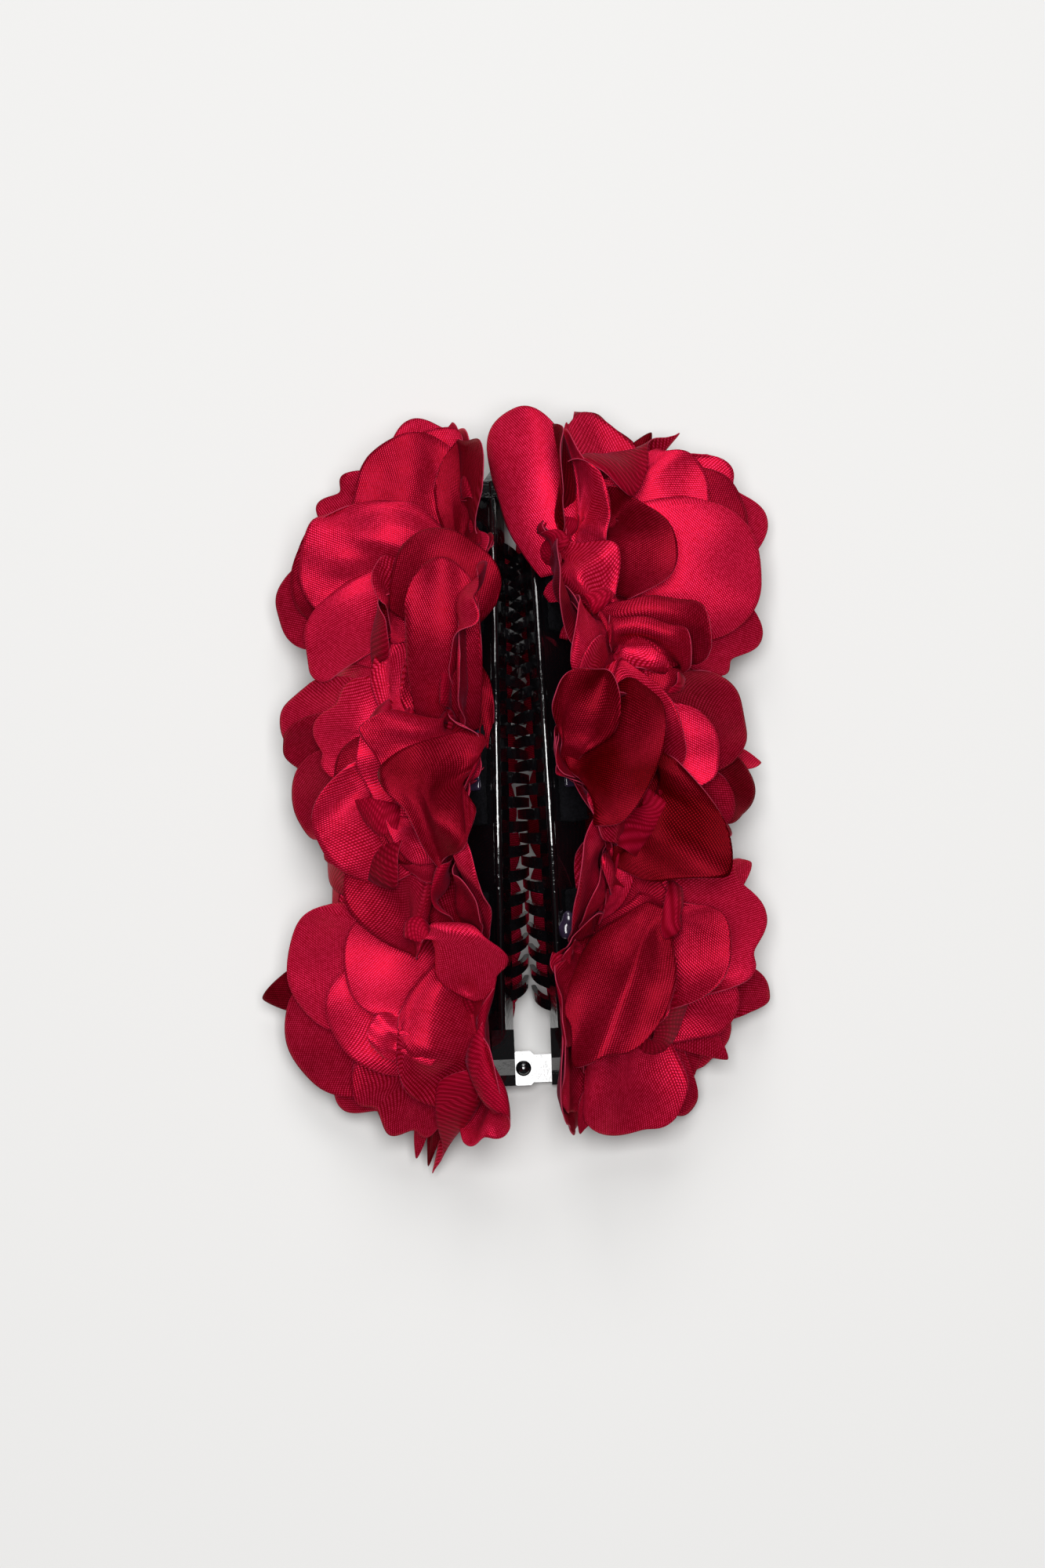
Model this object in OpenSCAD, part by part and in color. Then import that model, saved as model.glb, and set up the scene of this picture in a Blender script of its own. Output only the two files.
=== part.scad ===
// Hair clip: two arched combs riveted together at one end and latched at the other,
// with three layered satin flowers glued on felt pads along the outside of each comb.
//
// Frame: +X towards the right comb, +Y towards the latch, +Z away from the teeth.
// Origin: middle of the envelope, on the surface that the clip lies on. Drawn closed.
//
// The combs are laid out in clip coordinates, where Y = 0 is under the apex of the arch.
// A comb's section is given as [u, v]: u outwards from the middle plane, v outwards
// from the arch's datum circle, both for the right comb. The left comb mirrors it.

/* [Arch] */
// Radius of the datum circle, through the middle of the bead
arch_r = 95; // [93:0.5:97]
// Height of the datum circle's top above the surface
arch_h = 24.5; // [24:0.25:25]
// Turn of each comb's plane, which opens the gap towards the hinge
comb_yaw = 1.2; // [0.9:0.1:1.3]
// Angle of the rails' end at the hinge, from the apex
hinge_end_a = -35; // [-36:0.5:-34]
// Angle of the rails' end at the latch, from the apex
latch_end_a = 35; // [34:0.5:36]

/* [Comb section] */
// Width of the rounded bead along the gap
bead_d = 1.7; // [1.5:0.1:1.9]
// Distance of the bead from the middle plane
bead_u = 4.6; // [4.5:0.1:4.9]
// Width of the sloping band that carries the flowers
band_l = 7.2; // [6.8:0.1:7.6]
// Thickness of the band
band_t = 1.6; // [1.4:0.1:1.8]
// Slope of the band, outwards and down
band_tilt = 32; // [30:1:34]
// Depth of the skirt that the teeth grow from
skirt_h = 4; // [3.8:0.1:4.1]

/* [Teeth] */
// Teeth on each comb
tooth_count = 20; // [16:1:20]
// Angle between teeth
tooth_pitch = 2.88; // [2.84:0.02:2.9]
// Angle of the right comb's first tooth, next to the hinge
tooth_first_a = -29.2; // [-29.4:0.1:-28.8]
// Depth of the tips below the datum circle
tooth_depth = 10.8; // [10:0.2:11]
// Width of a tooth at its root, along the comb
tooth_root_w = 2.3; // [1.9:0.1:2.3]
// Width of a tooth at its tip
tooth_tip_w = 1.6; // [1.2:0.1:1.6]
// How far the tips pass the middle plane
tooth_cross = 0.9; // [0.6:0.1:1]

/* [Hinge] */
// Sideways place of the rivet
hinge_x = -1.85; // [-2:0.05:-1.7]
// Lengthwise place of the rivet, in clip coordinates
hinge_y = -56; // [-56.3:0.1:-55.7]
// Radius of the rivet's shank
pin_r = 1; // [0.9:0.05:1.1]
// Radius of the rivet's domed head
pin_head_r = 1.45; // [1.35:0.05:1.6]
// Clearance round the shank in the lugs
pin_clearance = 0.05; // [0.03:0.01:0.08]
// Thickness of each hinge lug
lug_t = 2.2; // [2:0.1:2.3]
// Width of each lug across its flats
lug_w = 6.4; // [6:0.1:6.8]

/* [Latch] */
// Lengthwise place of the clip's tip, in clip coordinates
latch_tip_y = 60.4; // [60:0.1:61]
// Length of the tongue on the right comb
tongue_l = 3.4; // [3:0.1:3.6]
// Clearance round the tongue in its pocket
tongue_gap = 0.2; // [0.18:0.01:0.25]

/* [Flowers] */
// Angle between the flowers of one comb
flower_pitch = 22; // [21:0.5:22.5]
// Height of a flower above its pad
flower_h = 21.5; // [20:0.5:23]
// Spread of the flower next to the latch
latch_flower_r = 35; // [34.5:0.5:37]
// Spread of the middle flower
middle_flower_r = 41; // [39:0.5:42]
// Spread of the flower next to the hinge
hinge_flower_r = 43; // [42:0.5:44]
// Thickness of a felt pad
felt_t = 1.4; // [1.2:0.1:1.6]
// Thickness of the glue under a flower
glue_t = 0.8; // [0.6:0.1:1]

/* [Hidden] */
$fn = 48;

SIDES = ["left", "right"];
PLACES = ["latch", "middle", "hinge"];
LAYERS = ["outer", "lower", "upper", "inner"];
COMB_NODES = ["left_comb", "right_comb", "hinge_pin"];
PAD_NODES = [for (s = SIDES, p = PLACES) str(s, "_", p, "_felt_pad")];
GLUE_NODES = [for (s = SIDES, p = PLACES) str(s, "_", p, "_glue")];
STITCH_NODES = [for (s = SIDES, p = PLACES) str(s, "_", p, "_flower_stitches")];
PETAL_NODES = [for (s = SIDES, p = PLACES, l = LAYERS) str(s, "_", p, "_flower_", l, "_petals")];

BLACK = [0.03, 0.03, 0.035];
FELT = [0.1, 0.1, 0.11];
GLUE = [0.55, 0.5, 0.62];
THREAD = [0.45, 0.02, 0.1];
PETALS = [[0.5, 0.01, 0.08], [0.6, 0.02, 0.12], [0.7, 0.03, 0.16], [0.78, 0.06, 0.2]];
STEEL = [0.12, 0.12, 0.13];

// Envelope of the flowers in clip coordinates: the clip's ends lie inside it.
envelope_y = [-75.9, 67.7];
frame_y = -(envelope_y[0] + envelope_y[1]) / 2;
big = 200;

// Section of a comb
arch_z = arch_h - arch_r;
bead = [bead_u, 0];
band_dir = [cos(band_tilt), -sin(band_tilt)];
band_normal = [sin(band_tilt), cos(band_tilt)];
band_start = bead - 0.15 * band_normal;
band_end = band_start + band_l * band_dir;
skirt_t = 1.4;
skirt_end = [bead_u - 1.5, -skirt_h];

// Teeth
tooth_root = skirt_end + [0.1, 0.3];
tooth_root_t = 1.5;
tooth_tip_t = 0.9;
tooth_steps = 6;
cross_growth = 0.08;
first_cross = 0.2;

// Hinge lugs, from the surface up: right lug, gap, left lug
lug_gap = 0.2;
left_lug_z = lug_t + lug_gap;
recess_r = 2.1;
recess_h = 0.8;
tail_r = 1.7;
tail_z = [0.12, 0.75];
cheek_u = [3.4, 7.6];

// Latch noses
nose_gap = 0.1;
tongue_y = [latch_tip_y - 4.2, latch_tip_y - 1.6];
tongue_z = [2.2, 4];

// Where the pads and the flowers sit on the band
pad_w = 5.4;
pad_s = 1.7;
pad_half_a = 7.2;
glue_w = 4.6;
glue_half_a = 3.4;
seat_s = pad_s + pad_w / 2;
seat = band_start + seat_s * band_dir + (band_t / 2 + felt_t + glue_t) * band_normal;
knot_r = 2.6;
knot_h = 1.7;
petal_root = 1.15;
cell_gap_a = 0.12;
layer_gap_a = 0.5;
layer_a = [0, 17, 36, 60, 90];
gap_side_x = 7.6;
ellipse_steps = 5;

function side_sign(s) = s == "left" ? -1 : 1;
function place_no(p) = search([p], PLACES)[0];
function flower_a(i) = (1 - i) * flower_pitch;
function flower_r(i) = [latch_flower_r, middle_flower_r, hinge_flower_r][i];
function mix(a, b, t) = a + (b - a) * t;
function bezier(p, q, r, t) = mix(mix(p, q, t), mix(q, r, t), t);
function left_normal(d) = [-d[1], d[0]] / norm(d);

// Stands its children in clip coordinates in the part's frame.
module clip() {
    translate([0, frame_y, 0]) children();
}

// Turns right-hand geometry into a comb's plane, and mirrors it for the left.
module comb_side(sign) {
    mirror([sign < 0 ? 1 : 0, 0, 0]) rotate([0, 0, comb_yaw]) children();
}

// A place on the datum circle: X is u, Y runs along the arch and Z is v.
module at_arch(a) {
    translate([0, 0, arch_z]) rotate([-a, 0, 0]) translate([0, 0, arch_r]) children();
}

// Sweeps a [u, v] section along the arch from angle a to angle b.
module sweep_arch(a, b) {
    translate([0, 0, arch_z])
        rotate([0, 90, 0])
            rotate([0, 0, 180 - b])
                rotate_extrude(angle = b - a, $fn = 180)
                    translate([arch_r, 0]) mirror([1, -1, 0]) children();
}

// A flat strip between two points of a section.
module strip(p, q, t) {
    d = q - p;
    translate(p) rotate(atan2(d[1], d[0])) translate([0, -t / 2]) square([norm(d), t]);
}

// A strip lying on the band, from s along it and h above its face.
module band_strip(s, h, w, t) {
    translate(band_start + s * band_dir + (band_t / 2 + h) * band_normal)
        rotate(-band_tilt) square([w, t]);
}

module comb_section() {
    strip(band_start, band_end, band_t);
    strip(bead - [0.1, 0.2], skirt_end, skirt_t);
    translate(bead) circle(d = bead_d);
}

// Outline of one tooth, [u, v]: inwards from the skirt, then down past the middle plane.
module tooth_outline(cross) {
    tip = [-cross, -tooth_depth + tooth_tip_t / 2];
    bend = [0.3, -skirt_h - 1.5];
    middle = [for (i = [0:tooth_steps]) bezier(tooth_root, bend, tip, i / tooth_steps)];
    slope = [for (i = [0:tooth_steps]) middle[min(i + 1, tooth_steps)] - middle[max(i - 1, 0)]];
    half = [for (i = [0:tooth_steps]) mix(tooth_root_t, tooth_tip_t, i / tooth_steps) / 2];
    edge = [for (i = [0:tooth_steps]) half[i] * left_normal(slope[i])];
    polygon(concat(
        [for (i = [0:tooth_steps]) middle[i] + edge[i]],
        [for (i = [tooth_steps:-1:0]) middle[i] - edge[i]]
    ));
    translate(tip) circle(d = tooth_tip_t);
}

// A tooth narrows along the comb from its root to its tip.
module tooth(a, cross) {
    top_v = -skirt_h + 2;
    low_v = -tooth_depth - 0.5;
    at_arch(a) intersection() {
        rotate([90, 0, 0])
            linear_extrude(height = tooth_root_w, center = true) tooth_outline(cross);
        rotate([90, 0, 90])
            linear_extrude(height = 4 * bead_u, center = true)
                polygon([
                    [-tooth_root_w / 2, top_v],
                    [tooth_root_w / 2, top_v],
                    [tooth_tip_w / 2, low_v],
                    [-tooth_tip_w / 2, low_v]
                ]);
    }
}

// One comb's rail and teeth. The left comb's teeth stand half a pitch along.
module rail_and_teeth(sign) {
    first_a = tooth_first_a + (sign < 0 ? tooth_pitch / 2 : 0);
    comb_side(sign) {
        sweep_arch(hinge_end_a, latch_end_a) comb_section();
        for (i = [0:tooth_count - 1])
            tooth(first_a + i * tooth_pitch, min(tooth_cross, first_cross + cross_growth * i));
    }
}

// Side outline of the block that joins a rail's end to its lug, [y, z].
module cheek_outline(lug_z) {
    polygon([
        [hinge_y - 3.2, lug_z],
        [hinge_y - 3.2, lug_z + lug_t],
        [hinge_y - 1.2, lug_z + lug_t + 0.6],
        [hinge_y + 1.6, 8.6],
        [hinge_y + 7, 11.8],
        [hinge_y + 7, 7.4],
        [hinge_y + 3.2, lug_z]
    ]);
}

// Lug with its cheek, reaching from the rail across to the rivet.
module hinge_lug(sign, lug_z) {
    arm_l = cheek_u[1] - sign * hinge_x;
    mirror([sign < 0 ? 1 : 0, 0, 0])
        translate([cheek_u[0], 0, 0])
            rotate([90, 0, 90])
                linear_extrude(height = cheek_u[1] - cheek_u[0]) cheek_outline(lug_z);
    translate([hinge_x, hinge_y, lug_z]) {
        rotate(22.5) cylinder(r = lug_w / 2 / cos(22.5), h = lug_t, $fn = 8);
        translate([sign > 0 ? 0 : -arm_l, -2.6, 0]) cube([arm_l, 5.2, lug_t]);
    }
}

// Pointed block that closes the latch end of a comb.
module nose(sign) {
    y0 = latch_tip_y - 9;
    y1 = latch_tip_y;
    mirror([sign < 0 ? 1 : 0, 0, 0]) intersection() {
        rotate([90, 0, 90])
            linear_extrude(height = 12)
                polygon([[y0, 6], [y0, 10.4], [y1 - 5.4, 7.8], [y1, 3], [y1, 0], [y1 - 5.6, 0]]);
        linear_extrude(height = 20)
            polygon([[nose_gap, y0 + 2.2], [nose_gap, y1], [1.7, y1], [7.4, y0], [3.2, y0]]);
    }
}

module left_comb() {
    color(BLACK) clip() difference() {
        union() {
            rail_and_teeth(-1);
            hinge_lug(-1, left_lug_z);
            nose(-1);
        }
        translate([hinge_x, hinge_y, left_lug_z - 1])
            cylinder(r = pin_r + pin_clearance, h = lug_t + 6);
        translate([-tongue_l - nose_gap - tongue_gap, tongue_y[0] - tongue_gap, tongue_z[0] - tongue_gap])
            cube([tongue_l + tongue_gap + 1,
                  tongue_y[1] - tongue_y[0] + 2 * tongue_gap,
                  tongue_z[1] - tongue_z[0] + 2 * tongue_gap]);
    }
}

module right_comb() {
    color(BLACK) clip() difference() {
        union() {
            rail_and_teeth(1);
            hinge_lug(1, 0);
            nose(1);
            translate([-tongue_l, tongue_y[0], tongue_z[0]])
                cube([tongue_l + 1, tongue_y[1] - tongue_y[0], tongue_z[1] - tongue_z[0]]);
        }
        translate([hinge_x, hinge_y, -1]) {
            cylinder(r = pin_r + pin_clearance, h = lug_t + 2);
            cylinder(r = recess_r, h = recess_h + 1);
        }
    }
}

// Rivet: domed head above the left lug, shank, and a spread tail in the right lug's recess.
module hinge_pin() {
    head_z = left_lug_z + lug_t;
    color(STEEL) clip() translate([hinge_x, hinge_y, 0]) {
        translate([0, 0, head_z]) intersection() {
            translate([0, 0, -0.25]) sphere(r = pin_head_r + 0.05);
            cylinder(r = pin_head_r, h = 2 * pin_head_r);
        }
        translate([0, 0, tail_z[0]]) cylinder(r = pin_r, h = head_z - tail_z[0] + 0.3);
        translate([0, 0, tail_z[0]]) cylinder(r = tail_r, h = tail_z[1] - tail_z[0]);
    }
}

module felt_pad(s, p) {
    a = flower_a(place_no(p));
    color(FELT) clip() comb_side(side_sign(s))
        sweep_arch(a - pad_half_a, a + pad_half_a) band_strip(pad_s, 0, pad_w, felt_t);
}

module glue(s, p) {
    a = flower_a(place_no(p));
    color(GLUE) clip() comb_side(side_sign(s))
        sweep_arch(a - glue_half_a, a + glue_half_a)
            band_strip(seat_s - glue_w / 2, felt_t, glue_w, glue_t);
}

// A place on a flower's seat, with Z along the flower's axis.
module at_seat(s, p) {
    clip() comb_side(side_sign(s)) at_arch(flower_a(place_no(p)))
        translate([seat[0], 0, seat[1]]) rotate([0, band_tilt, 0]) children();
}

// Thread knot that gathers a flower's layers at its centre.
module stitches(s, p) {
    color(THREAD) at_seat(s, p) rotate_extrude()
        polygon(concat([[0, 0]], [for (i = [0:6]) [knot_r * cos(15 * i), knot_h * sin(15 * i)]]));
}

// Room that one flower has between its neighbours, outside the gap and above the surface.
module flower_cell(s, p) {
    i = place_no(p);
    a = flower_a(i);
    low_a = i == 2 ? a - 45 : a - flower_pitch / 2 + cell_gap_a;
    high_a = i == 0 ? a + 45 : a + flower_pitch / 2 - cell_gap_a;
    intersection() {
        clip() comb_side(side_sign(s)) sweep_arch(low_a, high_a)
            translate([gap_side_x - 2, -60]) square([60, 120]);
        clip() translate([side_sign(s) > 0 ? gap_side_x : -gap_side_x - big, envelope_y[0], 0])
            cube([big, envelope_y[1] - envelope_y[0], big]);
    }
}

// One layer of petals: a ring of the flower's dome between two slopes.
module petal_layer(s, p, layer) {
    i = place_no(p);
    n = search([layer], LAYERS)[0];
    low = layer_a[n] + (n == 0 ? 0 : layer_gap_a);
    high = layer_a[n + 1];
    steps = [for (k = [0:ellipse_steps]) mix(low, high, k / ellipse_steps)];
    inside = [for (k = [ellipse_steps:-1:0])
        petal_root * [knot_r * cos(steps[k]), knot_h * sin(steps[k])]];
    outside = [for (t = steps) [flower_r(i) * cos(t), flower_h * sin(t)]];
    color(PETALS[n]) intersection() {
        at_seat(s, p) rotate_extrude($fn = 64) polygon(concat(outside, inside));
        flower_cell(s, p);
    }
}

left_comb();
right_comb();
hinge_pin();
for (s = SIDES, p = PLACES) {
    felt_pad(s, p);
    glue(s, p);
    stitches(s, p);
    for (l = LAYERS)
        petal_layer(s, p, l);
}
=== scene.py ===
import math

import bpy
import numpy as np
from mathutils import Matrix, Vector, noise


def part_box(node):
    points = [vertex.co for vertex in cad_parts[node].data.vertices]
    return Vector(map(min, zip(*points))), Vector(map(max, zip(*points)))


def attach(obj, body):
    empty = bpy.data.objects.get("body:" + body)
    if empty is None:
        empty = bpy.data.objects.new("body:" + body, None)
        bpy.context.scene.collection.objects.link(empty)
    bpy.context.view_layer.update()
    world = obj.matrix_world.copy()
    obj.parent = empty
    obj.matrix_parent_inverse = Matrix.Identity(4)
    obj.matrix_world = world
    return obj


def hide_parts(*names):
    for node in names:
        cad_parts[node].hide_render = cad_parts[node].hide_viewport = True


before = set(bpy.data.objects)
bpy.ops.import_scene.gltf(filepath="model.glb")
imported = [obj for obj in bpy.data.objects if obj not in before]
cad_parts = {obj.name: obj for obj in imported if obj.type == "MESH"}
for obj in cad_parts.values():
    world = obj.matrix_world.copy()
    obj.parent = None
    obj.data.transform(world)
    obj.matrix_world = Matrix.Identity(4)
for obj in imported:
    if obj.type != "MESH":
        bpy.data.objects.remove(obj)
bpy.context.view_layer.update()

# Lengths are in millimetres up to the point where meshes are made.
MM = 0.001
SIDES = {"left": -1, "right": 1}
# Angle of each flower along the combs' arch.
PLACES = {"latch": 22.0, "middle": 0.0, "hinge": -22.0}
LAYERS = ("outer", "lower", "upper", "inner")
# Slope of the combs' band, and height of the knot of stitches on it.
BAND_TILT = 32.0
KNOT_H = 1.7

# Grid of one petal: rows run from root to tip, columns from side to side.
ROWS = 25
COLS = 25
# Steps along a petal's spine and across half of its section.
SPINE_STEPS = 60
SECTION_STEPS = 14
# The coarse grid that petals push each other apart on.
COARSE = 13
CLOTH_T = 0.18
# Offset between the places on the cloth that petals are cut from, per radian of their phases.
CLOTH_SHIFT = 0.01
# How near the middle plane the petals of a flower may come.
EDGES = {
    ("left", "latch"): 1.0, ("left", "middle"): 5.2, ("left", "hinge"): 1.0,
    ("right", "latch"): 2.6, ("right", "middle"): 3.6, ("right", "hinge"): 0.4,
}
# How much further out the filling stays, at least and at most, and the lowest listed petal.
FILL_BACK = (2.0, 7.0)
LOWEST_BACK = 2.5
# How far the listed petals spread outwards.
SPREAD = {"left": 1.0, "right": 1.08}
# The petals under the comb may pass the middle plane by this much.
UNDER_EDGE = -0.4
# Edge of a petal that stays as it is placed, while the others make room for it.
NO_EDGE = -99.0

rng = np.random.default_rng(416)


# ---------------------------------------------------------------- petals

def unit(v):
    v = np.asarray(v, float)
    return v / np.linalg.norm(v)


def smooth(a, b, x):
    t = np.clip((x - a) / (b - a), 0, 1)
    return t * t * (3 - 2 * t)


def seat_of(side, place):
    """Centre of a flower on its glue and the flower's axis, in millimetres, from the CAD knot."""
    sign = SIDES[side]
    tilt, arch = math.radians(BAND_TILT), math.radians(PLACES[place])
    up = math.cos(tilt)
    axis = np.array([sign * math.sin(tilt), up * math.sin(arch), up * math.cos(arch)])
    lo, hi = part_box(f"{side}_{place}_flower_stitches")
    middle = np.array((lo + hi) / 2) / MM
    return middle - axis * KNOT_H * 0.6, axis


class Petal:
    """One cut petal, bent in space. Lengths are in millimetres and angles in degrees."""

    def __init__(self, root, direction, up, length, width, **shape):
        self.root = np.asarray(root, float)
        self.direction = unit(direction)
        self.up = unit(up)
        self.length = length
        self.width = width
        self.shape = dict(
            roll=0, bow=20, cup=20, left=0, right=0, curl=0, sweep=0, twist=0,
            lobes=1, lobe_shift=0.0, notch=0.0, neck=0.24, point=0.0, ruffle=0.5, waves=1.6,
            crease=0.0, crease_u=0.0, noise=0.28, tone_and_shade=0.5, weave=0, edge=6.0)
        self.shape.update(shape)
        self.phases = rng.uniform(0, 2 * math.pi, 6)
        self.build()

    def outline(self, t, u):
        """Flat cut of the petal: x across and y along, in millimetres."""
        s = self.shape
        half = self.width / 2 * (s["neck"] + (1 - s["neck"]) * (1 - (1 - t) ** 2.1))
        shoulder = 0.62 - 0.25 * s["point"]
        rounding = np.sqrt(np.clip(1 - np.abs(u) ** 2.3, 0, 1))
        pointed = 1 - np.abs(u) ** 1.2
        end = shoulder + (1 - shoulder) * ((1 - s["point"]) * rounding + s["point"] * pointed)
        lobe = np.sqrt(np.cos(s["lobes"] * math.pi * (u + s["lobe_shift"]) / 2) ** 2 + 0.02)
        end = end - s["notch"] * (1 - lobe) * (1 - np.abs(u) ** 4)
        return half * u, self.length * t * end

    def build(self):
        """Sets the flat cut and the bent points, each on the petal's grid."""
        t, u = np.meshgrid(np.linspace(0, 1, ROWS), np.linspace(-1, 1, COLS), indexing="ij")
        x, y = self.outline(t, u)
        self.flat = np.stack([x, y], -1)
        along, side, normal, centre = self.centreline(y)
        share = y / self.length
        lift, across = self.section(x, share)
        self.points = centre + side * across[..., None] + normal * lift[..., None]
        self.points += self.grid_normals(self.points) * self.relief(x, y, t, u)[..., None]

    def centreline(self, y):
        """Direction, side, normal and place on the centreline for each vertex's distance from the root."""
        s = self.shape
        n = SPINE_STEPS
        k = (np.arange(n) + 0.5) / n
        up, d0 = self.up, self.direction
        rise0 = math.degrees(math.asin(np.clip(d0 @ up, -1, 1)))
        flat_dir = unit(d0 - (d0 @ up) * up)
        across = np.cross(up, flat_dir)
        rise = np.radians(rise0 + s["bow"] * (0.5 - k) + s["curl"] * smooth(0.68, 1.05, k))
        turn = np.radians(s["sweep"] * (k - 0.5))
        level = np.cos(turn)[:, None] * flat_dir + np.sin(turn)[:, None] * across
        along = np.cos(rise)[:, None] * level + np.sin(rise)[:, None] * up
        beside = np.cross(up, level)
        face = np.cross(along, beside)
        roll = np.radians(s["roll"] + s["twist"] * (k - 0.5))
        side = np.cos(roll)[:, None] * beside + np.sin(roll)[:, None] * face
        normal = np.cross(along, side)
        place = np.vstack([[0, 0, 0], np.cumsum(along, 0) * self.length / n]) + self.root
        knots = np.arange(n + 1) / n * self.length

        def pick(values, at):
            return np.stack([np.interp(y, at, values[:, i]) for i in range(3)], -1)

        mids = k * self.length
        return pick(along, mids), pick(side, mids), pick(normal, mids), pick(place, knots)

    def section(self, x, share):
        """Rise above, and distance along, the chord of the petal's cross-section."""
        s = self.shape
        half = self.width / 2
        cup = np.radians(s["cup"]) * (1.25 - 0.45 * share)
        edge = np.radians(np.where(x > 0, s["left"], s["right"])) * smooth(0.15, 0.6, share)
        lift = np.zeros_like(x)
        across = np.zeros_like(x)
        for j in range(SECTION_STEPS):
            at = np.abs(x) * (j + 0.5) / SECTION_STEPS / half
            angle = cup * at + edge * smooth(0.5, 1.0, at)
            lift += np.sin(angle)
            across += np.cos(angle)
        return lift * np.abs(x) / SECTION_STEPS, across * x / SECTION_STEPS

    def relief(self, x, y, t, u):
        """Ruffles along the rim, soft dents and one crease, as a height above the smooth petal."""
        s, phase = self.shape, self.phases
        rim = np.clip(np.sqrt((u * 0.8) ** 2 + (t * 0.85) ** 2), 0, 1.2) ** 3 * t
        height = s["ruffle"] * rim * np.sin(math.pi * s["waves"] * u * 1.4 + phase[0])
        height += 0.5 * s["ruffle"] * rim * np.sin(math.pi * 2.6 * t + phase[1] + 2 * u)
        soft = np.sin(0.21 * x + 0.13 * y + phase[2]) + np.sin(0.11 * x - 0.27 * y + phase[3])
        soft += 0.6 * np.sin(0.42 * x + phase[4]) * np.sin(0.36 * y + phase[5])
        height += s["noise"] * soft * smooth(0.05, 0.6, t)
        if s["crease"]:
            line = u - s["crease_u"] * (0.4 + 0.6 * t)
            ridge = np.sqrt((line * self.width / 2) ** 2 + 0.5)
            height += s["crease"] * np.exp(-ridge / 2.4) * 2.2 * smooth(0.02, 0.5, t)
        return height

    @staticmethod
    def grid_normals(p):
        """Unit normals of a grid of points."""
        down = np.gradient(p, axis=0)
        across = np.gradient(p, axis=1)
        n = np.cross(down, across)
        length = np.linalg.norm(n, axis=-1, keepdims=True)
        return n / np.maximum(length, 1e-9)

    def area(self):
        """Flat area of the cut, in square metres."""
        f = self.flat
        a, b = f[1:, 1:] - f[:-1, :-1], f[1:, :-1] - f[:-1, 1:]
        return float(np.abs(a[..., 0] * b[..., 1] - a[..., 1] * b[..., 0]).sum() / 2) * MM * MM
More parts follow.
